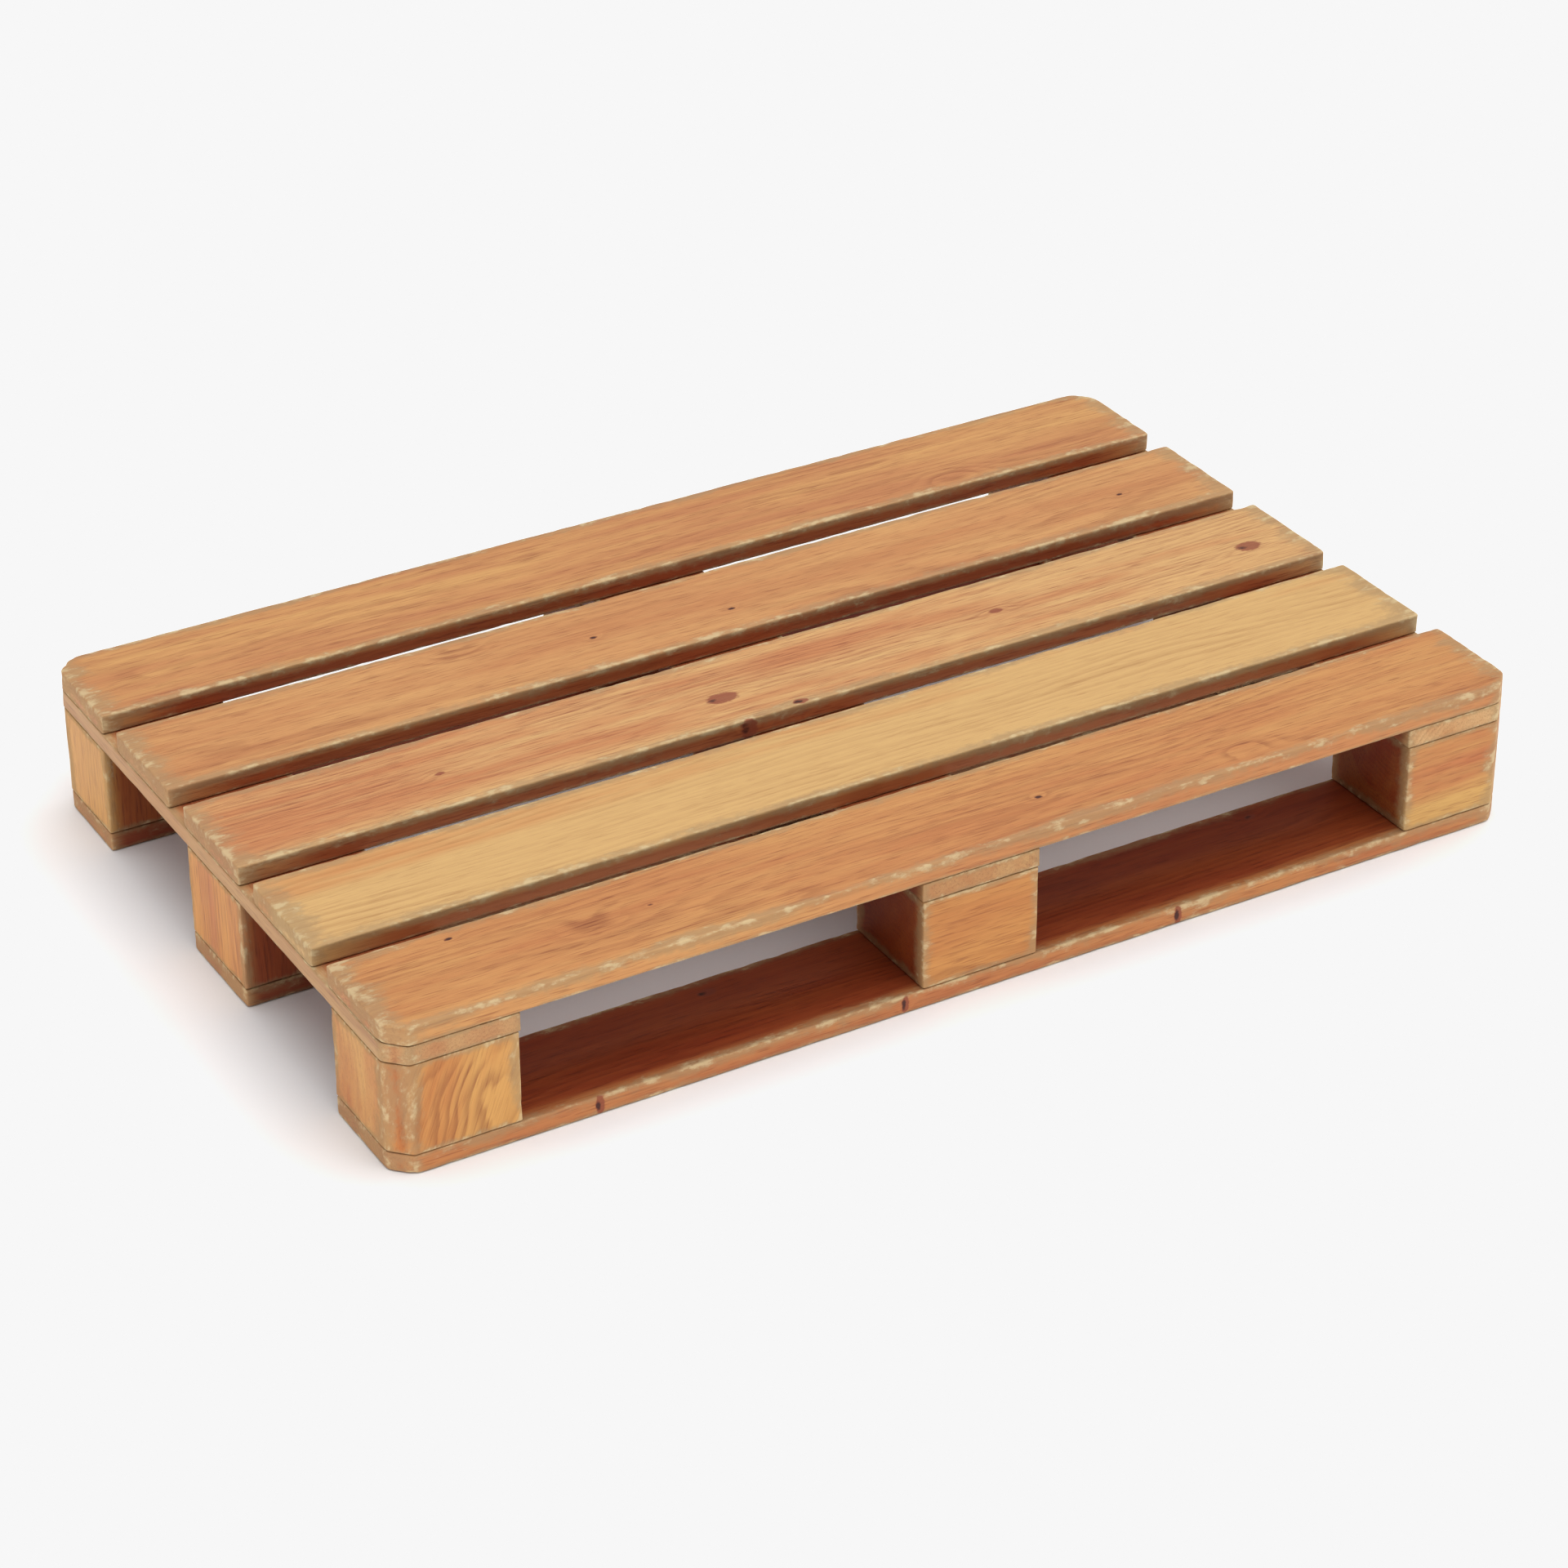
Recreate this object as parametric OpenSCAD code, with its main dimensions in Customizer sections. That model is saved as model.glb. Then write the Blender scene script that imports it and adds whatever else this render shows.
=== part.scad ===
// Four-way block pallet of nailed softwood: five deck boards on three stringer boards,
// nine blocks and three bottom boards.
// +X runs along the length, +Y across it from the front long side to the back one, +Z up.
// The origin is on the floor, under the middle of the pallet.

/* [Overall] */
// Length of the pallet, which the deck boards and bottom boards span
pallet_l = 1200; // [900:5:1500]
// Width of the pallet, which the stringer boards span
pallet_w = 750; // [650:5:1000]
// Leg of the 45 degree cut across each upright corner
corner_cut = 19.5; // [5:0.5:30]
// How far the middle row of blocks and its two boards sit from mid width
middle_row_y = -3; // [-6:0.5:6]
// How far the centre column of blocks and its stringer board sit from mid length
centre_column_x = -6.5; // [-20:0.5:20]

/* [Deck boards] */
// Thickness of a deck board
deck_t = 20; // [16:0.5:30]
// Width of the three inner deck boards
inner_board_w = 125; // [90:1:150]
// Width of the deck boards along the two long sides
edge_board_w = 124; // [90:1:150]
// Radius that wear has given the top edges of a deck board
worn_edge_r = 4; // [1:0.5:8]

/* [Stringer boards] */
// Thickness of a stringer board
stringer_t = 20; // [16:0.5:30]
// Width of a stringer board
stringer_w = 126; // [95:1:160]

/* [Blocks] */
// Height of a block
block_h = 93; // [70:1:120]
// Size of a block along the pallet's length
block_l = 124; // [95:1:160]
// Size of a block across the pallet's width
block_w = 120; // [95:1:150]

/* [Bottom boards] */
// Thickness of a bottom board
bottom_t = 20; // [16:0.5:30]
// Width of a bottom board
bottom_board_w = 120; // [95:1:150]

/* [Nails] */
// Diameter of a nail's shank
nail_d = 3.4; // [2.5:0.1:4.5]
// Diameter of a nail's head
nail_head_d = 7.5; // [6:0.5:10]
// Thickness of a nail's head
nail_head_t = 1.5; // [1:0.1:2]
// Length of a nail's tapered point
nail_point_l = 5; // [3:0.5:8]
// Diameter left at the tip of the point
nail_tip_d = 0.8; // [0.4:0.1:1.2]
// Depth that the nails of a deck board over blocks reach into the blocks
deck_nail_grip = 47; // [35:1:55]
// Wood left under the points of the nails that end in a stringer board
stringer_nail_end = 3; // [2:0.5:6]
// Depth that the nails from below reach into the blocks
bottom_nail_grip = 41; // [30:1:50]
// Depth of closed wood over the heads in the deck
deck_nail_cover = 2; // [1:0.5:4]
// Depth of the open recess over the heads under the bottom boards
bottom_nail_recess = 0.2; // [0.1:0.1:3]
// Distance between neighbouring nails of a joint along the pallet's length
nail_step_x = 35; // [25:1:42]
// Distance of each nail from the middle line of its joint
nail_offset_y = 28; // [20:1:34]
// Gap between a nail and its hole
nail_gap = 0.05; // [0.02:0.01:0.2]

/* [Hidden] */
$fn = 32;

// Heights of the four layers, from the floor up
block_z = bottom_t;
stringer_z = block_z + block_h;
deck_z = stringer_z + stringer_t;
top_z = deck_z + deck_t;

// Columns of blocks and stringer boards along X, from left to right
COLUMNS = ["left", "centre", "right"];
block_x = [-(pallet_l - block_l) / 2, centre_column_x, (pallet_l - block_l) / 2];
stringer_x = [-(pallet_l - stringer_w) / 2, centre_column_x, (pallet_l - stringer_w) / 2];

// Rows of blocks and bottom boards along Y, from front to back
ROWS = ["front", "middle", "back"];
block_y = [-(pallet_w - block_w) / 2, middle_row_y, (pallet_w - block_w) / 2];
bottom_y = [-(pallet_w - bottom_board_w) / 2, middle_row_y, (pallet_w - bottom_board_w) / 2];

// Deck boards from front to back: each inner one is midway between its neighbours
DECK = ["front_edge", "front_inner", "centre", "back_inner", "back_edge"];
deck_w = [edge_board_w, inner_board_w, inner_board_w, inner_board_w, edge_board_w];
edge_y = (pallet_w - edge_board_w) / 2;
slot_side_edge = pallet_w / 2 - edge_board_w;
slot_side_centre = inner_board_w / 2;
deck_y = [
    -edge_y,
    (middle_row_y - slot_side_centre - slot_side_edge) / 2,
    middle_row_y,
    (middle_row_y + slot_side_centre + slot_side_edge) / 2,
    edge_y
];

// Nail lengths, head included
block_nail_l = deck_t + stringer_t + deck_nail_grip - deck_nail_cover;
stringer_nail_l = deck_t + stringer_t - stringer_nail_end - deck_nail_cover;
bottom_nail_l = bottom_t + bottom_nail_grip - bottom_nail_recess;

// Three deck boards lie over a row of blocks, and the two between them over stringers only
deck_nail_y = [block_y[0], deck_y[1], block_y[1], deck_y[3], block_y[2]];
deck_nail_l = [block_nail_l, stringer_nail_l, block_nail_l, stringer_nail_l, block_nail_l];
DECK_OF_ROW = [0, 2, 4];

// Colours of the pieces
DECK_COLOURS = ["#C98F5E", "#DEB880", "#CB8B64", "#D09869", "#CF9867"];
STRINGER_COLOURS = ["#D3A070", "#DDB47E", "#D2A574"];
BLOCK_COLOURS = [["#D0985E", "#CA8E5E", "#D29F6C"], ["#D0915C", "#C68A58", "#CC9460"],
                 ["#CA8656", "#C98A5A", "#CE9562"]];
BOTTOM_COLOURS = ["#BE7A4A", "#B97A4C", "#C08050"];
NAIL_COLOUR = "#8A8D8F";

function deck_names() = [for (d = DECK) str("deck_board_", d)];
function stringer_names() = [for (c = COLUMNS) str("stringer_board_", c)];
function block_names() = [for (c = COLUMNS, r = ROWS) str("block_", c, "_", r)];
function bottom_names() = [for (r = ROWS) str("bottom_board_", r)];
function deck_nail_names() = [for (d = DECK) str("deck_nails_", d)];
function bottom_nail_names() = [for (r = ROWS) str("bottom_nails_", r)];

// A nail hanging from the top of its head, grown by a gap to make its hole. The hole runs
// on over the head by its own amount.
module nail(length, gap = 0, over_head = 0) {
    translate([0, 0, -nail_head_t])
        cylinder(d = nail_head_d + 2 * gap, h = nail_head_t + over_head);
    translate([0, 0, nail_point_l - length - gap])
        cylinder(d = nail_d + 2 * gap, h = length - nail_point_l - nail_head_t + 2 * gap);
    translate([0, 0, -length - gap])
        cylinder(d1 = nail_tip_d + 2 * gap, d2 = nail_d + 2 * gap, h = nail_point_l);
}

// Puts its children at the three nail places of a joint in a zigzag; side 1 or -1 flips it,
// so that the nails from below pass beside those from above.
module joint_sites(x, y, z, side) {
    for (k = [-1:1])
        translate([x + k * nail_step_x, y + side * (k == 0 ? -1 : 1) * nail_offset_y, z])
            children();
}

// The nails that deck board d has at column c, or their holes
module deck_joint(d, c, gap = 0) {
    joint_sites(block_x[c], deck_nail_y[d], top_z - deck_nail_cover, 1)
        nail(deck_nail_l[d], gap, gap);
}

// The nails from below into the block at column c and row r, or their holes
module bottom_joint(c, r, gap = 0) {
    joint_sites(block_x[c], block_y[r], bottom_nail_recess, -1)
        mirror([0, 0, 1])
            nail(bottom_nail_l, gap, gap == 0 ? 0 : bottom_nail_recess + nail_head_t);
}

// The wood cut away at the four upright corners of the pallet
module corner_cuts() {
    beyond = corner_cut;
    for (sx = [-1, 1], sy = [-1, 1])
        translate([sx * pallet_l / 2, sy * pallet_w / 2, -beyond])
            linear_extrude(top_z + 2 * beyond)
                polygon([[-sx * corner_cut, 0], [0, -sy * corner_cut],
                         [sx * beyond, -sy * corner_cut], [sx * beyond, sy * beyond],
                         [-sx * corner_cut, sy * beyond]]);
}

// A slab centred on x and y, standing on z
module slab(size, x, y, z) {
    translate([x - size[0] / 2, y - size[1] / 2, z]) cube(size);
}

// Outline of a board seen end on, with its two upper corners worn round
module worn_outline(width) {
    translate([-width / 2, 0]) square([width, deck_t - worn_edge_r]);
    translate([worn_edge_r - width / 2, 0]) square([width - 2 * worn_edge_r, deck_t]);
    for (s = [-1, 1])
        translate([s * (width / 2 - worn_edge_r), deck_t - worn_edge_r]) circle(r = worn_edge_r);
}

module deck_board(d) {
    color(DECK_COLOURS[d])
        difference() {
            translate([0, deck_y[d], deck_z])
                intersection() {
                    rotate([90, 0, 90]) linear_extrude(pallet_l, center = true)
                        worn_outline(deck_w[d]);
                    rotate([90, 0, 0]) linear_extrude(deck_w[d], center = true)
                        worn_outline(pallet_l);
                }
            corner_cuts();
            for (c = [0:2]) deck_joint(d, c, nail_gap);
        }
}

module stringer_board(c) {
    color(STRINGER_COLOURS[c])
        difference() {
            slab([stringer_w, pallet_w, stringer_t], stringer_x[c], 0, stringer_z);
            corner_cuts();
            for (d = [0:4]) deck_joint(d, c, nail_gap);
        }
}

module block(c, r) {
    color(BLOCK_COLOURS[c][r])
        difference() {
            slab([block_l, block_w, block_h], block_x[c], block_y[r], block_z);
            corner_cuts();
            deck_joint(DECK_OF_ROW[r], c, nail_gap);
            bottom_joint(c, r, nail_gap);
        }
}

module bottom_board(r) {
    color(BOTTOM_COLOURS[r])
        difference() {
            slab([pallet_l, bottom_board_w, bottom_t], 0, bottom_y[r], 0);
            corner_cuts();
            for (c = [0:2]) bottom_joint(c, r, nail_gap);
        }
}

module deck_nails(d) {
    color(NAIL_COLOUR) for (c = [0:2]) deck_joint(d, c);
}

module bottom_nails(r) {
    color(NAIL_COLOUR) for (c = [0:2]) bottom_joint(c, r);
}

for (d = [0:4])
    deck_board(d);
for (c = [0:2])
    stringer_board(c);
for (c = [0:2], r = [0:2])
    block(c, r);
for (r = [0:2])
    bottom_board(r);
for (d = [0:4])
    deck_nails(d);
for (r = [0:2])
    bottom_nails(r);
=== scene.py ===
# %% [markdown]
# # A worn, varnished block pallet
# The pallet is five deck boards on three stringer boards, nine blocks and three bottom
# boards, nailed together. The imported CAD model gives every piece's place and size. This
# lesson gives each piece its rubbed edges, its own stretch of pine and its old varnish.

import math

import bpy
from mathutils import Euler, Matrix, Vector


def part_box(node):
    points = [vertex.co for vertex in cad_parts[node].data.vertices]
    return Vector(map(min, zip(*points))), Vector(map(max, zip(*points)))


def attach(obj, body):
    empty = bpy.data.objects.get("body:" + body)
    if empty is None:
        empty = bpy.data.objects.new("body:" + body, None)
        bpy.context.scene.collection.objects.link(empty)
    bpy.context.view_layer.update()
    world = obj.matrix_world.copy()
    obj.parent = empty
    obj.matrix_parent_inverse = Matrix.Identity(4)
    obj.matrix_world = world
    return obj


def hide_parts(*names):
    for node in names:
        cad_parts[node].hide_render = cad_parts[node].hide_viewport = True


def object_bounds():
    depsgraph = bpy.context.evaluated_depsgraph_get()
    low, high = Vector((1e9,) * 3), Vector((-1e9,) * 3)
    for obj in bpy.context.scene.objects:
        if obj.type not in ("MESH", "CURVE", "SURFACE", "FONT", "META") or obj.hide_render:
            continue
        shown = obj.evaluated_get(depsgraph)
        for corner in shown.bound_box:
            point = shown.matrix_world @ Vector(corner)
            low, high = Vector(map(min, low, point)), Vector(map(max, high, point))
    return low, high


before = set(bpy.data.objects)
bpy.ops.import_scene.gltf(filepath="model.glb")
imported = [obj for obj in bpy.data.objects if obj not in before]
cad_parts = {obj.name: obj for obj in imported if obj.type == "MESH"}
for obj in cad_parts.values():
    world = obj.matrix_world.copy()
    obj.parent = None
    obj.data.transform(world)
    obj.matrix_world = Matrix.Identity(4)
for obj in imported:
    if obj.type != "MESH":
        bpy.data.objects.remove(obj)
CAD_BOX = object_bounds()
MM = 0.001
print("pallet box", [round(v, 4) for v in CAD_BOX[1] - CAD_BOX[0]])

# %% [markdown]
# ## One helper for every node
# Geometry trees, materials and the sky are all node trees. Writing each node as a single
# call keeps a tree readable: its kind, then what goes into its sockets in order or by
# name, then its settings. A node given as an input stands for its first output.

# %% Helper: one node with its links and settings
MATH = "ShaderNodeMath"
VMATH = "ShaderNodeVectorMath"
NOISE = "ShaderNodeTexNoise"
RANGE = "ShaderNodeMapRange"
MIX = "ShaderNodeMix"


def first_output(node):
    return next(s for s in node.outputs if s.enabled)


def add(tree, kind, links=(), **settings):
    """Adds a node; links holds values, sockets or nodes, by position or by socket name."""
    node = tree.nodes.new(kind)
    for name, value in settings.items():
        setattr(node, name, value)
    sockets = [s for s in node.inputs if s.enabled]
    pairs = links.items() if isinstance(links, dict) else enumerate(links)
    for key, value in pairs:
        socket = sockets[key] if isinstance(key, int) else next(s for s in sockets if s.name == key)
        if isinstance(value, bpy.types.Node):
            value = first_output(value)
        if isinstance(value, bpy.types.NodeSocket):
            tree.links.new(value, socket)
        elif value is not None:
            socket.default_value = value
    return node


def linear(hex_colour):
    """A colour written as sRGB hex, such as 'C98F5E', as linear red, green, blue, alpha."""
    parts = [int(hex_colour[i:i + 2], 16) / 255 for i in (0, 2, 4)]
    return [c / 12.92 if c <= 0.04045 else ((c + 0.055) / 1.055) ** 2.4 for c in parts] + [1.0]


# %% [markdown]
# ## The camera
# A long lens from a little over four metres keeps the boards nearly parallel, as product
# pictures do. Aiming it with a turn round the pallet, a height and a slight roll is easier
# to read than three Euler angles.

# %% Camera
LENS_MM = 100
AIM = Vector((-0.0599, -0.1093, 0.1))
DISTANCE = 4.1233
TURN, HEIGHT, ROLL = math.radians(-29.99), math.radians(30.59), math.radians(-0.29)

back = Vector((math.sin(TURN) * math.cos(HEIGHT), -math.cos(TURN) * math.cos(HEIGHT), math.sin(HEIGHT)))
camera = bpy.data.objects.new("camera", bpy.data.cameras.new("camera"))
camera.data.lens = LENS_MM
camera.data.sensor_width = 36
camera.location = AIM + back * DISTANCE
camera.rotation_euler = ((-back).to_track_quat("-Z", "Y").to_matrix().to_4x4()
                         @ Euler((0, 0, ROLL)).to_matrix().to_4x4()).to_euler()
bpy.context.scene.collection.objects.link(camera)
bpy.context.scene.camera = camera
print("camera at", [round(v, 3) for v in camera.location])

# %% [markdown]
# ## Light, floor and exposure
# Three kinds of plain soft light share the work. A big softbox almost overhead lights the
# deck and leaves the space under it dark. A long low softbox on each side lights the upright
# faces, straight on, so its light doesn't turn corners into the bays between the blocks. A
# polarising sheet on it keeps its mirror image off the varnish, which would otherwise glare
# when the deck is seen from low down. A pale dome, dim at the horizon, fills in the rest.
# Together they burn the floor out to an even pale ground, and a curve holds that ground
# just under white.

# %% Exposure and softboxes
OVERHEAD_STRENGTH, OVERHEAD_SPREAD, OVERHEAD_TILT, OVERHEAD_BEARING = 3.1, 80, 14, 60
SIDE_SPREAD, SIDE_HEIGHT = 5, 2.5
SIDES = {"front": (0, 1.6), "right": (90, 1.2), "back": (180, 1.0), "left": (270, 1.7)}
GROUND_WHITE = 0.93

scene = bpy.context.scene
scene.view_settings.view_transform = "Standard"
scene.view_settings.use_curve_mapping = True
curve = scene.view_settings.curve_mapping
curve.extend = "HORIZONTAL"
curve.curves[3].points[1].location = (1.0, GROUND_WHITE)
curve.update()


def softbox(name, strength, spread, tilt, compass):
    """A far softbox: spread is how wide it looks, tilt is from overhead towards a compass
    bearing, where 0 is the front and 90 the right. All three are in degrees."""
    light = bpy.data.objects.new(name, bpy.data.lights.new(name, "SUN"))
    light.data.energy = strength
    light.data.angle = math.radians(spread)
    light.rotation_euler = (math.radians(tilt), 0, math.radians(compass))
    scene.collection.objects.link(light)
    return light


softbox("softbox_overhead", OVERHEAD_STRENGTH, OVERHEAD_SPREAD, OVERHEAD_TILT, OVERHEAD_BEARING)
for side_name, (bearing, strength) in SIDES.items():
    low_box = softbox("softbox_" + side_name, strength, SIDE_SPREAD, 90 - SIDE_HEIGHT, bearing)
    low_box.visible_glossy = False
print("softboxes:", 1 + len(SIDES))

# %% Dome, with a plain white backdrop that only the camera sees
DOME_STRENGTH, DOME_HORIZON = 0.74, 0.08
BACKGROUND_STRENGTH = 1.3

world = bpy.data.worlds.new("studio_dome")
scene.world = world
world.use_nodes = True
sky = world.node_tree
backdrop = sky.nodes["Background"]
backdrop.inputs["Strength"].default_value = BACKGROUND_STRENGTH
backdrop.inputs["Color"].default_value = linear("FFFFFF")
up = add(sky, "ShaderNodeSeparateXYZ", (add(sky, "ShaderNodeTexCoord").outputs["Generated"],)).outputs[2]
glow = add(sky, RANGE, (up, 0.0, 1.0, DOME_HORIZON * DOME_STRENGTH, DOME_STRENGTH))
dome = add(sky, "ShaderNodeBackground", (linear("FFFDFA"), glow))
seen = add(sky, "ShaderNodeLightPath").outputs["Is Camera Ray"]
mixed = add(sky, "ShaderNodeMixShader", (seen, dome, backdrop))
sky.links.new(first_output(mixed), sky.nodes["World Output"].inputs["Surface"])
print("sky:", len(sky.nodes), "nodes")

# %% Floor
FLOOR_SIZE = 12.0
FLOOR_PAINT = {"Base Color": linear("EBEAEB"), "Roughness": 0.9, "Specular IOR Level": 0.1}
half = FLOOR_SIZE / 2
floor_mesh = bpy.data.meshes.new("floor")
floor_mesh.from_pydata([(-half, -half, 0), (half, -half, 0), (half, half, 0), (-half, half, 0)],
                       [], [(0, 1, 2, 3)])
floor = bpy.data.objects.new("floor", floor_mesh)
scene.collection.objects.link(floor)
paint = bpy.data.materials.new("matt_white_floor_paint")
paint.use_nodes = True
for name, value in FLOOR_PAINT.items():
    paint.node_tree.nodes["Principled BSDF"].inputs[name].default_value = value
floor_mesh.materials.append(paint)
print("floor:", FLOOR_SIZE, "m square")

# %% [markdown]
# ## Sawn blanks
# Each piece starts as sawn stock: a closed box of clean quads. The grid lines crowd
# towards the edges, because rubbing rounds only the last few millimetres and that is where
# the surface needs points. The lines at 19.5 mm let the corner cut follow the grid.

# %% Blank builder
CORNER_LEG = 19.5 * MM
EDGE_LINES = [d * MM for d in (0, 1.1, 2.3, 3.9, 6.2, 9.5, 13.0, 16.0, 18.2, 19.5, 20.8, 23.0, 27.0)]
MIDDLE_GAP = 0.4 * MM


def grid_lines(low, high, spacing):
    """Positions from low to high that crowd at both ends and are even between."""
    middle = (low + high) / 2
    start = [low + d for d in EDGE_LINES if low + d < middle - MIDDLE_GAP]
    stop = [high - d for d in EDGE_LINES if high - d > middle + MIDDLE_GAP][::-1]
    gaps = max(1, round((stop[0] - start[-1]) / spacing))
    between = [start[-1] + (stop[0] - start[-1]) * i / gaps for i in range(1, gaps)]
    return start + between + stop


def sawn_blank(name, low, high, spacing):
    """A box from low to high whose six sides share one grid of quads, facing outwards."""
    lines = [grid_lines(low[a], high[a], spacing) for a in range(3)]
    last = [len(line) - 1 for line in lines]
    index, points, faces = {}, [], []

    def corner(i, j, k):
        if (i, j, k) not in index:
            index[i, j, k] = len(points)
            points.append((lines[0][i], lines[1][j], lines[2][k]))
        return index[i, j, k]

    for axis in range(3):
        u, v = (axis + 1) % 3, (axis + 2) % 3
        for end in (0, last[axis]):
            for a in range(last[u]):
                for b in range(last[v]):
                    quad = []
                    for da, db in ((0, 0), (1, 0), (1, 1), (0, 1)):
                        place = [0, 0, 0]
                        place[axis], place[u], place[v] = end, a + da, b + db
                        quad.append(corner(*place))
                    faces.append(quad if end else quad[::-1])
    mesh = bpy.data.meshes.new(name)
    mesh.from_pydata(points, [], faces)
    blank = bpy.data.objects.new(name, mesh)
    scene.collection.objects.link(blank)
    return blank


# %% [markdown]
# ## Wear as a Geometry Nodes tool
# Every board and block is worn by the same rule, so one node tree does it to all of them:
# the upright corners of the pallet are cut at 45 degrees, the edges are rubbed round by an
# amount that wanders along them, and small chips are missing. A bevel would give each edge
# one even radius. A smooth maximum of the distances to the faces gives a round that can
# grow and shrink. The tree also stores how far each point is from its nearest edge, which
# the varnish later wears by.

# %% The wear tree
PALLET_CORNER = Vector((CAD_BOX[1].x, CAD_BOX[1].y, 0))
RUB_PATCH, RUB_LEAST, RUB_MOST = 30 * MM, 0.55, 1.5
RUB_STEPS, NORMAL_BLUR = 2, 4
CHIP_PATCH, CHIP_START, CHIP_FULL = 11 * MM, 0.56, 0.72
CHIP_NEAR, CHIP_FAR = 1.0, 6.0

wear = bpy.data.node_groups.new("edge_wear", "GeometryNodeTree")
WEAR_INPUTS = {
    "Blank": "NodeSocketGeometry",
    "Low corner": "NodeSocketVector",
    "High corner": "NodeSocketVector",
    "Top edge round": "NodeSocketFloat",
    "Side edge round": "NodeSocketFloat",
    "Low edge round": "NodeSocketFloat",
    "Top edge shelter": "NodeSocketFloat",
    "Low edge shelter": "NodeSocketFloat",
    "End reach": "NodeSocketFloat",
    "Chip depth": "NodeSocketFloat",
    "Seed": "NodeSocketFloat",
    "Wood": "NodeSocketMaterial",
}
for name, kind in WEAR_INPUTS.items():
    wear.interface.new_socket(name, in_out="INPUT", socket_type=kind)
wear.interface.new_socket("Worn piece", in_out="OUTPUT", socket_type="NodeSocketGeometry")
given = add(wear, "NodeGroupInput").outputs
position = add(wear, "GeometryNodeInputPosition")
print("wear inputs:", len(WEAR_INPUTS))

# %% The corner cut slides the square corner's grid onto the 45 degree face
inner = add(wear, VMATH, (PALLET_CORNER, (CORNER_LEG, CORNER_LEG, 0)), operation="SUBTRACT")
spread = add(wear, VMATH, (position,), operation="ABSOLUTE")
into = add(wear, VMATH, (spread, inner), operation="SUBTRACT")
into = add(wear, "ShaderNodeSeparateXYZ",
           (add(wear, VMATH, (into, (1 / CORNER_LEG, 1 / CORNER_LEG, 0)), operation="MULTIPLY"),))
into_x = add(wear, "ShaderNodeClamp", (into.outputs[0], 0, 1))
into_y = add(wear, "ShaderNodeClamp", (into.outputs[1], 0, 1))
both = add(wear, MATH, (add(wear, MATH, (into_x, into_y), operation="ADD"), 1e-6), operation="MAXIMUM")
most = add(wear, MATH, (into_x, into_y), operation="MAXIMUM")
kept = add(wear, MATH, (most, both), operation="DIVIDE")
lost = add(wear, MATH, (1.0, kept), operation="SUBTRACT")
lost = add(wear, MATH, (lost, -CORNER_LEG), operation="MULTIPLY")
cut_x = add(wear, MATH, (lost, into_x), operation="MULTIPLY")
cut_y = add(wear, MATH, (lost, into_y), operation="MULTIPLY")
side = add(wear, VMATH, (position,), operation="SIGN")
cut = add(wear, VMATH, (add(wear, "ShaderNodeCombineXYZ", (cut_x, cut_y, 0.0)), side), operation="MULTIPLY")
cut_blank = add(wear, "GeometryNodeSetPosition", {"Geometry": given["Blank"], "Offset": cut})
print("nodes with the corner cut:", len(wear.nodes))

# %% Distances inside the faces: the sides in pairs, the corner cut, then top and bottom
centre = add(wear, VMATH, (given["Low corner"], given["High corner"]), operation="ADD")
centre = add(wear, VMATH, (centre, (0.5, 0.5, 0.5)), operation="MULTIPLY")
reach = add(wear, VMATH, (given["High corner"], centre), operation="SUBTRACT")
from_centre = add(wear, VMATH, (position, centre), operation="SUBTRACT")
outside = add(wear, VMATH, (add(wear, VMATH, (from_centre,), operation="ABSOLUTE"), reach),
              operation="SUBTRACT")
outside = add(wear, "ShaderNodeSeparateXYZ", (outside,)).outputs
spread_xy = add(wear, "ShaderNodeSeparateXYZ", (spread,)).outputs
cut_plane = add(wear, MATH, (spread_xy[0], spread_xy[1]), operation="ADD")
cut_plane = add(wear, MATH, (cut_plane, PALLET_CORNER.x + PALLET_CORNER.y - CORNER_LEG), operation="SUBTRACT")
cut_plane = add(wear, MATH, (cut_plane, math.sqrt(0.5)), operation="MULTIPLY")
height = add(wear, "ShaderNodeSeparateXYZ", (from_centre,)).outputs[2]
upper = add(wear, MATH, (height, 0.0), operation="GREATER_THAN")
reach_z = add(wear, "ShaderNodeSeparateXYZ", (reach,)).outputs[2]
print("nodes with the distances:", len(wear.nodes))

# %% Distance to the nearest edge: the second largest of those distances
# A sheltered edge counts as further away than it is, and a deck board's ends as nearer
above = add(wear, MATH, (given["Top edge shelter"], add(wear, MATH, (height, reach_z),
                                                        operation="SUBTRACT")), operation="MULTIPLY")
below = add(wear, MATH, (height, reach_z), operation="ADD")
below = add(wear, MATH, (below, -1.0), operation="MULTIPLY")
below = add(wear, MATH, (below, given["Low edge shelter"]), operation="MULTIPLY")
sheltered = add(wear, MATH, (above, below), operation="MAXIMUM")
largest = add(wear, MATH, (outside[0], given["End reach"]), operation="MULTIPLY")
second = None
for distance in (outside[1], cut_plane, sheltered):
    smaller = add(wear, MATH, (largest, distance), operation="MINIMUM")
    second = smaller if second is None else add(wear, MATH, (second, smaller), operation="MAXIMUM")
    largest = add(wear, MATH, (largest, distance), operation="MAXIMUM")
edge_mm = add(wear, MATH, (second, -1 / MM), operation="MULTIPLY")
marked = add(wear, "GeometryNodeStoreNamedAttribute",
             {"Geometry": cut_blank, "Name": "edge_mm", "Value": edge_mm}, data_type="FLOAT", domain="POINT")
print("nodes with the stored edge distance:", len(wear.nodes))

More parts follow.
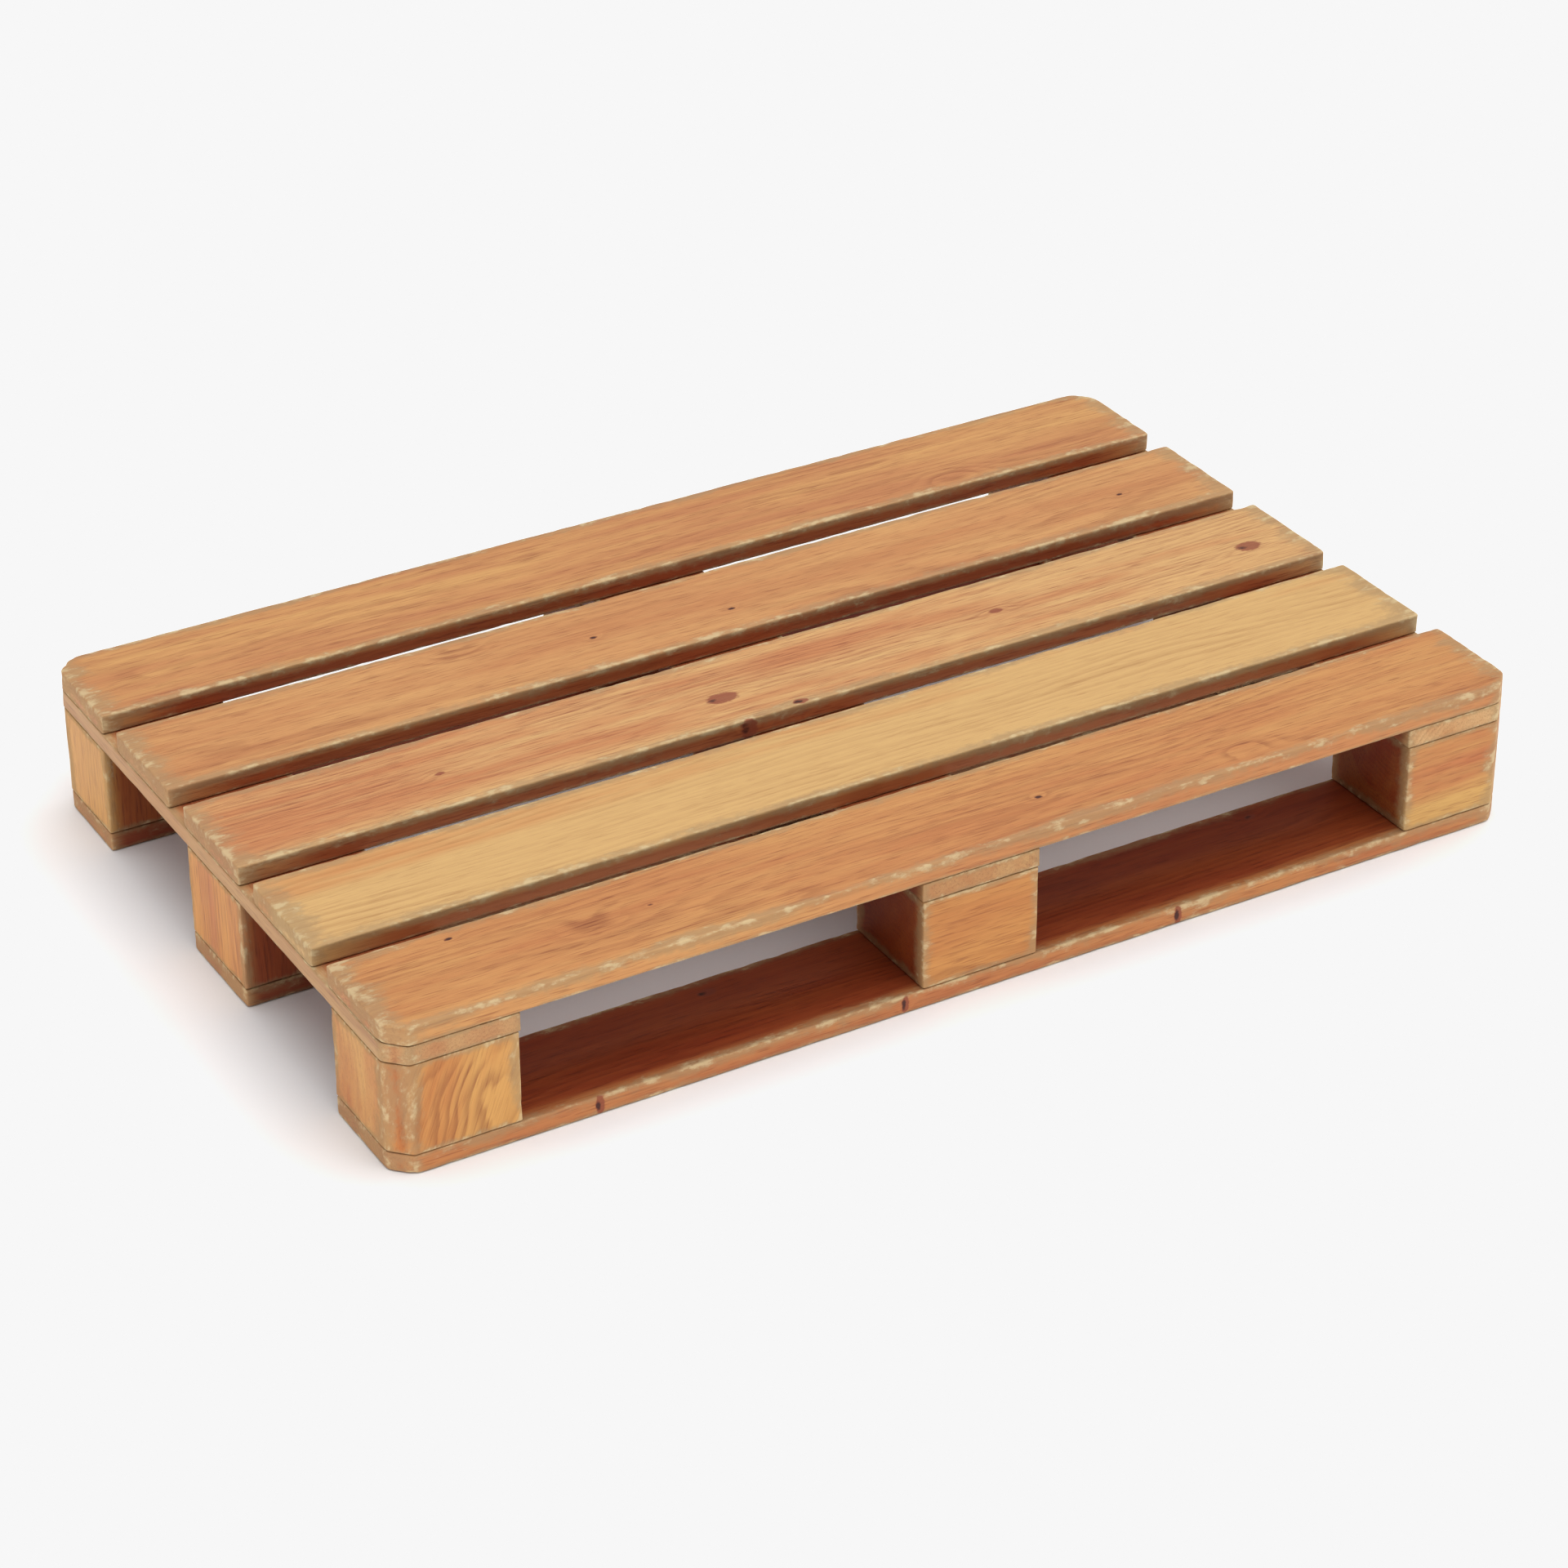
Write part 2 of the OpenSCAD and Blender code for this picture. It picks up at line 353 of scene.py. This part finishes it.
# %% Rubbing: steps towards the smooth maximum, its reach wandering along the edges
# The steps follow normals averaged over a few points. Where three faces meet, the bare
# normals turn so sharply that neighbouring points would cross and fold the surface
rub_spot = add(wear, VMATH, (position, add(wear, "ShaderNodeCombineXYZ", (given["Seed"], 0.0, 0.0))),
               operation="ADD")
rub_noise = add(wear, NOISE, {"Vector": rub_spot, "Scale": 1 / RUB_PATCH, "Detail": 2.0})
rub = add(wear, RANGE, {"Value": rub_noise, "From Min": 0.3, "From Max": 0.7,
                        "To Min": RUB_LEAST, "To Max": RUB_MOST})
plan_round = add(wear, MATH, (given["Side edge round"], rub), operation="MULTIPLY")
end_round = add(wear, MIX, (upper, given["Low edge round"], given["Top edge round"]))
end_round = add(wear, MATH, (end_round, rub), operation="MULTIPLY")
surface = add(wear, MATH, (outside[0], outside[1], plan_round), operation="SMOOTH_MAX")
surface = add(wear, MATH, (surface, cut_plane, plan_round), operation="SMOOTH_MAX")
surface = add(wear, MATH, (surface, outside[2], end_round), operation="SMOOTH_MAX")
outward = add(wear, "GeometryNodeBlurAttribute",
              {"Value": add(wear, "GeometryNodeInputNormal"), "Iterations": NORMAL_BLUR},
              data_type="FLOAT_VECTOR")
inward = add(wear, VMATH, {"Vector": outward,
                           "Scale": add(wear, MATH, (surface, -1.0), operation="MULTIPLY")},
             operation="SCALE")
rubbed = marked
for _ in range(RUB_STEPS):
    rubbed = add(wear, "GeometryNodeSetPosition", {"Geometry": rubbed, "Offset": inward})
print("nodes with the rubbing:", len(wear.nodes))

# %% Chips: shallow bites that fade out away from the edges
stored = add(wear, "GeometryNodeInputNamedAttribute", {"Name": "edge_mm"}, data_type="FLOAT")
near_edge = add(wear, RANGE, {"Value": stored, "From Min": CHIP_NEAR, "From Max": CHIP_FAR,
                              "To Min": 1.0, "To Max": 0.0})
chip_noise = add(wear, NOISE, {"Vector": rub_spot, "Scale": 1 / CHIP_PATCH, "Detail": 1.0})
bite = add(wear, RANGE, {"Value": chip_noise, "From Min": CHIP_START, "From Max": CHIP_FULL,
                         "To Min": 0.0, "To Max": 1.0})
bite = add(wear, MATH, (bite, near_edge), operation="MULTIPLY")
bite = add(wear, MATH, (bite, given["Chip depth"]), operation="MULTIPLY")
bite = add(wear, MATH, (bite, -1.0), operation="MULTIPLY")
chipped = add(wear, "GeometryNodeSetPosition", {
    "Geometry": rubbed,
    "Offset": add(wear, VMATH, {"Vector": add(wear, "GeometryNodeInputNormal"), "Scale": bite},
                  operation="SCALE")})
# One relaxing pass near the edges evens the points out after the bites, so that no two
# triangles are left folded over each other
relaxed = add(wear, "GeometryNodeBlurAttribute",
              {"Value": position, "Iterations": 1, "Weight": near_edge}, data_type="FLOAT_VECTOR")
boxed = add(wear, VMATH, (relaxed, given["Low corner"]), operation="MAXIMUM")
boxed = add(wear, VMATH, (boxed, given["High corner"]), operation="MINIMUM")
boxed = add(wear, "GeometryNodeSetPosition", {"Geometry": chipped, "Position": boxed})
smooth = add(wear, "GeometryNodeSetShadeSmooth", {"Geometry": boxed, "Shade Smooth": True})
single = add(wear, "GeometryNodeRealizeInstances", {"Geometry": smooth})
finished = add(wear, "GeometryNodeSetMaterial", {"Geometry": single, "Material": given["Wood"]})
add(wear, "NodeGroupOutput", (finished,))
print("wear tree:", len(wear.nodes), "nodes")


# %% [markdown]
# ## Applying the tool
# A modifier's inputs are set by each socket's identifier, before the piece is first
# evaluated. The result becomes a plain mesh that holds exactly what is seen.

# %% Piece maker
USUAL_TRIM = (0.3, 0.45, 0.45)
USUAL_SPACING = 5
NAME_SEED = 0.37


def worn_piece(node, slot, wood, **sizes):
    """The CAD node's place and size as a worn, varnished piece that stands for it. Trim is
    how far its sides, underside and top lie inside the CAD ones, and spacing is its grid's."""
    low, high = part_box(node)
    side, below, above = (t * MM for t in sizes.pop("trim", USUAL_TRIM))
    low, high = low + Vector((side, side, below)), high - Vector((side, side, above))
    blank = sawn_blank("blank_" + node, low, high, sizes.pop("spacing", USUAL_SPACING) * MM)
    seed = sum(map(ord, node)) * NAME_SEED
    values = {"Low corner": low, "High corner": high, "Wood": wood, "Seed": seed}
    values.update({name.replace("_", " "): size for name, size in sizes.items()})
    tool = blank.modifiers.new("edge_wear", "NODES")
    tool.node_group = wear
    for item in wear.interface.items_tree:
        if item.in_out == "INPUT" and item.name in values:
            tool[item.identifier] = values[item.name]
    blank.update_tag()
    worn = blank.evaluated_get(bpy.context.evaluated_depsgraph_get())
    mesh = bpy.data.meshes.new_from_object(worn)
    mesh.name = "worn_" + node
    piece = bpy.data.objects.new("worn_" + node, mesh)
    scene.collection.objects.link(piece)
    bpy.data.objects.remove(blank)
    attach(piece, "root")
    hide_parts(node)
    return piece


# %% [markdown]
# ## Varnished pine
# Pine is pale yellow sapwood round redder heartwood. A board sawn from it shows growth
# rings as long flames, fine fibres along the grain, and knots that push the rings aside.
# The rings are distances from a pith line, bent by slow noise, so the pattern carries on
# round every edge, and wood beyond a certain ring is sapwood. Old varnish makes it warm and
# satin. Below the top and in from the pallet's outer sides, the shade under the deck is
# painted into the colour as a deeper red. Where hands and forks rubbed the varnish off the
# edges, the wood has greyed to khaki, with bare cream patches.

# %% Patterns in the wood: mm along, across and through the grain, then detail and roughness
RING_MM = 5.5
PATTERNS = {
    "bend": ((420, 75, 75), 1.5, 0.5),
    "ripple": ((75, 11, 11), 2.0, 0.5),
    "show": ((220, 34, 34), 1.0, 0.5),
    "drift": ((520, 46, 60), 2.0, 0.5),
    "blotch": ((120, 15, 20), 2.5, 0.55),
    "streak": ((150, 2.4, 2.4), 3.0, 0.6),
    "fibre": ((28, 1.5, 1.5), 1.5, 0.6),
    "broad": ((75, 26, 26), 2.0, 0.5),
    "mottle": ((11, 6, 6), 3.0, 0.7),
    "patch": ((28, 13, 13), 2.5, 0.6),
}
SEED_SHIFT = (531, 97, 41)
BEND_MM, RIPPLE_MM = 26, 2.6
KNOT_SHAPE = (0.55, 1, 0.25)
SAP_GAIN_LENGTH = 600
LATE_STRENGTH, STREAK_STRENGTH, FIBRE_STRENGTH = 0.30, 0.20, 0.42
# Painted shade: a darker, redder tint multiplied into the wood below the top and in from the pallet's outer
# sides
PAINTED_SHADE_TINT, PAINTED_SHADE_START, PAINTED_SHADE_TOP = "D69F94", 2, (9, 1.5)
GREYED, BARE = "947A58", "B6A27C"
KNOT_RED, KNOT_DARK = ("7E3D2A", 0.85), ("2E1210", 0.9)
HALF_SIZE = CAD_BOX[1]


# %% Growth rings
def noise_patterns(tree, grain, seed):
    """One noise texture for each pattern, stretched along the grain. Returns them by name."""
    shifted = add(tree, VMATH, (grain, [seed * s for s in SEED_SHIFT]), operation="ADD")
    spots = {}
    for key, (size, detail, rough) in PATTERNS.items():
        spot = add(tree, VMATH, (shifted, [1 / s for s in size]), operation="MULTIPLY")
        spots[key] = add(tree, NOISE, (spot, 1.0, detail, rough))
    return spots


def growth_rings(tree, grain, axes, spots, pith, figure, knots):
    """Distance from the pith, pushed about by slow bends, ripples and knots. Returns it with
    how plainly the rings show, and the red and the dark part of every knot."""
    across = add(tree, MATH, (axes[1], pith[0]), operation="SUBTRACT")
    through = add(tree, MATH, (axes[2], pith[1]), operation="SUBTRACT")
    radius = add(tree, VMATH, (add(tree, "ShaderNodeCombineXYZ", (across, through, 0.0)),),
                 operation="LENGTH").outputs["Value"]
    bend = add(tree, RANGE, (spots["bend"], 0.0, 1.0, -BEND_MM * figure, BEND_MM * figure))
    ripple = add(tree, RANGE, (spots["ripple"], 0.0, 1.0, -RIPPLE_MM * figure, RIPPLE_MM * figure))
    radius = add(tree, MATH, (add(tree, MATH, (radius, bend), operation="ADD"), ripple), operation="ADD")
    ragged = add(tree, RANGE, (spots["mottle"], 0.2, 0.8, -0.22, 0.22))
    show = add(tree, RANGE, (spots["show"], 0.38, 0.68, 0.15, 1.0))
    reds, darks = [], []
    for x, y, size, core in knots:
        offset = add(tree, VMATH, (grain, (x, y, 0)), operation="SUBTRACT")
        offset = add(tree, VMATH, (offset, [s / size for s in KNOT_SHAPE]), operation="MULTIPLY")
        away = add(tree, VMATH, (offset,), operation="LENGTH").outputs["Value"]
        push = add(tree, RANGE, (away, 0.4, 3.4, 3.0 * size ** 0.5, 0.0), interpolation_type="SMOOTHSTEP")
        radius = add(tree, MATH, (radius, push), operation="ADD")
        if core == 0:
            swirl = add(tree, RANGE, (away, 0.8, 2.6, 1.6, 0.0), interpolation_type="SMOOTHSTEP")
            show = add(tree, MATH, (show, swirl), operation="MAXIMUM")
            continue
        away = add(tree, MATH, (away, ragged), operation="ADD")
        reds.append(add(tree, RANGE, (away, 0.86, 1.08, 1.0, 0.0)))
        heart_offset = add(tree, VMATH, (offset, (0.9 - core, 0, 0)), operation="ADD")
        away = add(tree, VMATH, (heart_offset,), operation="LENGTH").outputs["Value"]
        away = add(tree, MATH, (away, ragged), operation="ADD")
        darks.append(add(tree, RANGE, (away, core - 0.1, core + 0.12, 1.0, 0.0)))
    return radius, show, reds, darks


def late_wood(tree, radius, show, pitch):
    """The dark part of each ring: it rises slowly and ends sharply, once every pitch."""
    ring = add(tree, MATH, (radius, pitch), operation="DIVIDE")
    ring = add(tree, MATH, (ring,), operation="FRACT")
    rising = add(tree, RANGE, (ring, 0.2, 0.86), interpolation_type="SMOOTHSTEP")
    falling = add(tree, RANGE, (ring, 0.88, 1.0, 1.0, 0.0))
    latewood = add(tree, MATH, (rising, falling), operation="MULTIPLY")
    return add(tree, MATH, (latewood, show), operation="MULTIPLY")


# %% Colours of the wood, its painted shade and its wear
def heart_and_sap(tree, axes, spots, radius, heart, sap, sap_from, sapness, sap_gain):
    """Slow drifts and blotches of heartwood and sapwood, and sapwood beyond the last heart
    ring. Sapness makes all of it sappier, and sap_gain makes it so towards one end."""
    tone = add(tree, MIX, (0.4, spots["drift"], spots["blotch"]))
    gain = add(tree, MATH, (axes[0], sap_gain / SAP_GAIN_LENGTH), operation="MULTIPLY")
    tone = add(tree, MATH, (tone, gain), operation="ADD")
    tone = add(tree, RANGE, (tone, 0.38 - sapness, 0.62 - sapness))
    outer = add(tree, RANGE, (radius, sap_from[0] - sap_from[1], sap_from[0] + sap_from[1]),
                interpolation_type="SMOOTHSTEP")
    tone = add(tree, MATH, (tone, outer), operation="MAXIMUM")
    return add(tree, MIX, (tone, linear(heart), linear(sap)), data_type="RGBA")


def painted_shade_inside(tree, place, colour, painted_shade_depth):
    """Painted shade: the colour made darker and redder below the rubbed top and in from the pallet's outer
    sides, where shade falls under the deck and between the pieces.
    """
    inwards = add(tree, VMATH, (place,), operation="ABSOLUTE")
    inwards = add(tree, VMATH, (HALF_SIZE, inwards), operation="SUBTRACT")
    inwards = add(tree, "ShaderNodeSeparateXYZ", (inwards,)).outputs
    depth = add(tree, MATH, (inwards[0], inwards[1]), operation="MINIMUM")
    deep = add(tree, RANGE, (depth, PAINTED_SHADE_START * MM, painted_shade_depth * MM), interpolation_type="SMOOTHSTEP")
    raised = add(tree, "ShaderNodeSeparateXYZ", (place,)).outputs[2]
    under = add(tree, RANGE, (raised, HALF_SIZE.z - PAINTED_SHADE_TOP[0] * MM,
                              HALF_SIZE.z - PAINTED_SHADE_TOP[1] * MM, 1.0, 0.0))
    shaded = add(tree, MATH, (deep, under), operation="MULTIPLY")
    return add(tree, MIX, (shaded, colour, linear(PAINTED_SHADE_TINT)), data_type="RGBA", blend_type="MULTIPLY")


def rub_off(tree, facing, spots, colour, worn):
    """A greyed band along the edges and over the end grain, then bare cream patches in it.
    Returns how greyed the wood is, and the new colour."""
    edge = add(tree, "ShaderNodeAttribute", attribute_name="edge_mm").outputs["Fac"]
    end_grain = add(tree, MATH, (add(tree, "ShaderNodeSeparateXYZ", (facing,)).outputs[0],),
                    operation="ABSOLUTE")
    end_grain = add(tree, RANGE, (end_grain, 0.6, 0.9, 0.0, 7.0 * worn))
    ragged = add(tree, RANGE, (spots["mottle"], 0.25, 0.75, -4.0, 4.0))
    band = add(tree, RANGE, (spots["broad"], 0.3, 0.7, 3.0 * worn, 11.0 * worn))
    band = add(tree, MATH, (add(tree, MATH, (band, ragged), operation="ADD"), end_grain), operation="ADD")
    greyed = add(tree, RANGE, (add(tree, MATH, (band, edge), operation="SUBTRACT"), -4.5, 5.0),
                 interpolation_type="SMOOTHSTEP")
    cloud = add(tree, MIX, (0.4, spots["patch"], spots["mottle"]))
    cloud = add(tree, MATH, (cloud, add(tree, MATH, (edge, -0.012), operation="MULTIPLY")), operation="ADD")
    bare = add(tree, RANGE, (cloud, 0.45, 0.59), interpolation_type="SMOOTHSTEP")
    dry = add(tree, MIX, (bare, linear(GREYED), linear(BARE)), data_type="RGBA")
    amount = add(tree, MATH, (greyed, add(tree, RANGE, (bare, 0.0, 1.0, 0.62, 0.84))), operation="MULTIPLY")
    return greyed, add(tree, MIX, (amount, colour, dry), data_type="RGBA")


# %% The pine material
def pine(name, heart, sap, late, pith, seed, centre, turn=(0, 0, 0), sap_from=(400, 10), knots=(),
         sapness=0.0, sap_gain=0.0, figure=1.0, fibres=1.0, rings=1.0, worn=1.0, painted_shade_depth=18):
    """Varnished pine with its grain along X before the turn. Lengths are in mm in the
    piece's own frame: pith is across and through the grain, and a knot is its place along
    and across, its size, and how much of it is dark (0 leaves only a swirl in the rings)."""
    material = bpy.data.materials.new(name)
    material.use_nodes = True
    tree = material.node_tree
    shader = tree.nodes["Principled BSDF"]
    coordinates = add(tree, "ShaderNodeTexCoord").outputs
    place = add(tree, VMATH, (coordinates["Object"], centre), operation="SUBTRACT")
    grain = add(tree, "ShaderNodeMapping", {"Vector": place, "Rotation": turn, "Scale": (1000, 1000, 1000)})
    facing = add(tree, "ShaderNodeMapping", {"Vector": coordinates["Normal"], "Rotation": turn},
                 vector_type="VECTOR")
    axes = add(tree, "ShaderNodeSeparateXYZ", (grain,)).outputs
    spots = noise_patterns(tree, grain, seed)
    radius, show, reds, darks = growth_rings(tree, grain, axes, spots, pith, figure, knots)
    latewood = late_wood(tree, radius, show, RING_MM * rings)
    colour = heart_and_sap(tree, axes, spots, radius, heart, sap, sap_from, sapness, sap_gain)

    # Late wood, long streaks and short fibres darken it a little each
    streak = add(tree, RANGE, (spots["streak"], 0.42, 0.66))
    fibre = add(tree, RANGE, (spots["fibre"], 0.54, 0.68))
    darker = add(tree, MATH, (latewood, LATE_STRENGTH), operation="MULTIPLY")
    for pattern, strength in ((streak, STREAK_STRENGTH * fibres), (fibre, FIBRE_STRENGTH * fibres)):
        darker = add(tree, MATH, (pattern, strength, darker), operation="MULTIPLY_ADD")
    colour = add(tree, MIX, (darker, colour, linear(late)), data_type="RGBA")
    # Painted shade: darker, redder colour under the deck and inside the pallet, where shade falls
    colour = painted_shade_inside(tree, coordinates["Object"], colour, painted_shade_depth)
    greyed, colour = rub_off(tree, facing, spots, colour, worn)

    # Knots are too hard to wear pale, so they show through the rubbed edges as well
    for parts, (knot_colour, strength) in ((reds, KNOT_RED), (darks, KNOT_DARK)):
        for part in parts:
            amount = add(tree, MATH, (part, strength), operation="MULTIPLY")
            colour = add(tree, MIX, (amount, colour, linear(knot_colour)), data_type="RGBA")
    tree.links.new(first_output(colour), shader.inputs["Base Color"])

    # Satin varnish on sound wood, dry and pitted fibre where it is rubbed off
    rough = add(tree, RANGE, (greyed, 0.0, 1.0, 0.48, 0.75))
    tree.links.new(first_output(rough), shader.inputs["Roughness"])
    relief = add(tree, MATH, (fibre, 0.35), operation="MULTIPLY")
    relief = add(tree, MATH, (latewood, 0.2, relief), operation="MULTIPLY_ADD")
    relief = add(tree, MATH, (greyed, spots["mottle"], relief), operation="MULTIPLY_ADD")
    bump = add(tree, "ShaderNodeBump", {"Strength": 0.4, "Distance": 0.5 * MM, "Height": relief},
               invert=True)
    tree.links.new(first_output(bump), shader.inputs["Normal"])
    shader.inputs["IOR"].default_value = 1.5
    shader.inputs["Specular IOR Level"].default_value = 0.35
    return material


# %% [markdown]
# ## Deck boards
# The five deck boards take the load. Each was cut from another log, so each has its own
# tone: the second from the front is pale sapwood, and the middle one is red with two large
# knots.
# Their ends and top edges are worn most. The lower edges sit in joints or hang in shelter.

# %% Deck boards
DECK_WEAR = {"Top_edge_round": 3.6 * MM, "Side_edge_round": 8 * MM, "Low_edge_round": 0.6 * MM,
             "Top_edge_shelter": 1.0, "Low_edge_shelter": 3.0, "End_reach": 0.4,
             "Chip_depth": 0.9 * MM, "trim": (0.05, 0.1, 0.0)}
DECK = {
    "front_edge": dict(heart="B17344", sap="BC8851", late="7C4224", seed=1.3, pith=(-30, -60),
                       knots=((-372, 7, 9, 0), (300, -38, 9, 0), (-490, 45, 3.4, 0.9),
                              (85, -13, 3.4, 0.9), (-311, 5, 3.0, 0.9))),
    "front_inner": dict(heart="BA804C", sap="C29C65", late="8E6034", seed=2.7, pith=(130, -20),
                        sap_from=(108, 14), sapness=0.06, sap_gain=0.14, fibres=0.6, rings=1.5),
    "centre": dict(heart="B4774B", sap="C49A65", late="7C4028", seed=4.1, pith=(80, -30),
                   sap_from=(136, 14), sap_gain=0.12,
                   knots=((-75, -14, 10, 0.32), (540, -13, 9, 0.36), (-13, -57, 5, 0.6),
                          (-72, -66, 6, 0.6), (-370, -5, 4, 0.4), (245, 1, 5, 0.4))),
    "back_inner": dict(heart="B37A4C", sap="C08F5A", late="80492A", seed=5.9, pith=(-30, -65),
                       knots=((-253, 34, 9, 0), (-124, -4, 3.4, 0.9), (22, -20, 3.4, 0.9),
                              (492, -8, 3.2, 0.9))),
    "back_edge": dict(heart="AF754A", sap="C09058", late="80482A", seed=7.2, pith=(15, -70),
                      knots=((366, -40, 10, 0),)),
}
for board, look in DECK.items():
    node = "deck_board_" + board
    low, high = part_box(node)
    # The deck boards' painted shade reaches 90 mm in from the pallet's sides, over their undersides and the
    # sides of the gaps
    wood = pine("varnished_pine_" + board, centre=(low + high) / 2, painted_shade_depth=90, **look)
    worn_piece(node, "deck_wood", wood, **DECK_WEAR)
print("deck boards:", len(DECK))

# %% [markdown]
# ## Stringer boards
# Three boards lie across the blocks and carry the deck. Their grain runs across the pallet,
# so the pine is turned a quarter turn. Only their ends and outer sides meet the weather.

# %% Stringer boards
QUARTER = math.radians(90)
STRINGER_TURN = (0, 0, QUARTER)
JOINT_WEAR = {"Top_edge_round": 1.6 * MM, "Side_edge_round": 4 * MM, "Low_edge_round": 1.6 * MM,
              "Top_edge_shelter": 2.5, "Low_edge_shelter": 2.5, "End_reach": 1.0,
              "Chip_depth": 0.5 * MM, "trim": (0.3, 0.45, 0.8)}
STRINGERS = {
    "left": dict(heart="A8744A", sap="B0885A", late="805434", seed=11.0, pith=(40, -50)),
    "centre": dict(heart="A47044", sap="AE8656", late="7C5232", seed=12.4, pith=(-30, -60)),
    "right": dict(heart="AE7C4C", sap="BE9868", late="845A36", seed=13.7, pith=(20, -80)),
}
for column, look in STRINGERS.items():
    node = "stringer_board_" + column
    low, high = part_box(node)
    wood = pine("varnished_pine_stringer_" + column, centre=(low + high) / 2, turn=STRINGER_TURN,
                worn=0.5, **look)
    worn_piece(node, "stringer_wood", wood, **JOINT_WEAR)
print("stringer boards:", len(STRINGERS))

# %% [markdown]
# ## Blocks
# Nine offcuts lift the deck so that forks can enter from four sides. Their upright edges
# are knocked most. The saw left some with the grain upright and some with it lying along
# the pallet, and most show a little of both heartwood and sapwood.

# %% Blocks
BLOCK_WEAR = {"Top_edge_round": 1.8 * MM, "Side_edge_round": 5 * MM, "Low_edge_round": 1.8 * MM,
              "Top_edge_shelter": 1.8, "Low_edge_shelter": 1.8, "End_reach": 1.0,
              "Chip_depth": 0.8 * MM, "spacing": 5.5}
UPRIGHT = (0, QUARTER, 0)
LEAN = 0.35
LEANING = (0, QUARTER - LEAN, 0)
ALONG = (0, 0, 0)
BLOCKS = {
    "left_front": dict(heart="AE6C38", sap="C08E4E", turn=LEANING, pith=(-20, 70), sap_from=(118, 10),
                       figure=2.4, fibres=0.6, rings=2.4, worn=1.25,
                       knots=((-24, -60, 11, 0), (12, -60, 7, 0), (-6, 40, 9, 0))),
    "left_middle": dict(heart="B26D40", sap="C38745", turn=UPRIGHT, pith=(-70, 10), sap_from=(112, 14)),
    "left_back": dict(heart="B07542", sap="C18D49", turn=UPRIGHT, pith=(40, -30), sap_from=(80, 20)),
    "centre_front": dict(heart="AC6D39", sap="BA8245", turn=ALONG, pith=(30, -90)),
    "centre_middle": dict(heart="AC6E40", sap="BA844A", turn=UPRIGHT, pith=(20, 50), sap_from=(90, 10)),
    "centre_back": dict(heart="AE7040", sap="BE8A4E", turn=ALONG, pith=(-50, 40), sap_from=(95, 12)),
    "right_front": dict(heart="AC673B", sap="BC9252", turn=ALONG, pith=(-20, 70), sap_from=(89, 4)),
    "right_middle": dict(heart="B07244", sap="C08C50", turn=ALONG, pith=(60, -40), sap_from=(110, 10)),
    "right_back": dict(heart="AE6E40", sap="C29252", turn=UPRIGHT, pith=(-40, -50), sap_from=(85, 14)),
}
for count, (place_name, look) in enumerate(BLOCKS.items()):
    node = "block_" + place_name
    low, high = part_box(node)
    wood = pine("varnished_pine_" + node, late="7C4424", centre=(low + high) / 2, seed=20 + 1.7 * count,
                **look)
    worn_piece(node, "block_wood", wood, **BLOCK_WEAR)
print("blocks:", len(BLOCKS))

# %% [markdown]
# ## Bottom boards
# Three boards tie the rows of blocks together and slide on floors and racks. They are the
# reddest wood of the pallet. They stop a little above the nail heads, so that each head
# shows its metal from below.

# %% Bottom boards
BOTTOM_WEAR = {"Top_edge_round": 3.5 * MM, "Side_edge_round": 6 * MM, "Low_edge_round": 3.5 * MM,
               "Top_edge_shelter": 1.2, "Low_edge_shelter": 2.0, "End_reach": 1.0,
               "Chip_depth": 0.8 * MM, "trim": (0.3, 0.6, 0.45)}
BOTTOM_KNOTS = ((-240, 37, 6, 0.5), (365, 40, 5, 0.6), (-87, -59, 2.4, 0.6), (213, -59, 2.6, 0.6),
                (-401, -59, 2.6, 0.5))
BOTTOM_ROWS = {"front": BOTTOM_KNOTS, "middle": BOTTOM_KNOTS[:2], "back": BOTTOM_KNOTS[:2]}
for count, (row, knots) in enumerate(BOTTOM_ROWS.items()):
    node = "bottom_board_" + row
    low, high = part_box(node)
    wood = pine("varnished_pine_bottom_" + row, "A35F38", "B57A46", "6E3420",
                pith=(20 - 15 * count, -60), seed=31 + 2.3 * count, centre=(low + high) / 2, knots=knots)
    worn_piece(node, "bottom_wood", wood, **BOTTOM_WEAR)
print("bottom boards:", len(BOTTOM_ROWS))

# %% [markdown]
# ## Nails
# Pallet nails are bright drawn wire with a little zinc. Only the heads under the bottom
# boards can be seen. The CAD nails have the right shape, so they only need their metal.

# %% Nails
steel = bpy.data.materials.new("bright_drawn_steel_wire")
steel.use_nodes = True
tree = steel.node_tree
shader = tree.nodes["Principled BSDF"]
shader.inputs["Metallic"].default_value = 1.0
place = add(tree, "ShaderNodeTexCoord").outputs["Object"]
spots = add(tree, NOISE, {"Vector": place, "Scale": 1 / (2.5 * MM), "Detail": 3.0})
tarnish = add(tree, RANGE, {"Value": spots, "From Min": 0.42, "From Max": 0.62})
colour = add(tree, MIX, (tarnish, linear("A8AAAC"), linear("6E5A4A")), data_type="RGBA")
tree.links.new(first_output(colour), shader.inputs["Base Color"])
rough = add(tree, RANGE, {"Value": tarnish, "To Min": 0.32, "To Max": 0.65})
tree.links.new(first_output(rough), shader.inputs["Roughness"])
nail_nodes = [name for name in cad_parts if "_nails_" in name]
for name in nail_nodes:
    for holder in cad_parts[name].material_slots:
        holder.material = steel
print("nail groups:", len(nail_nodes))
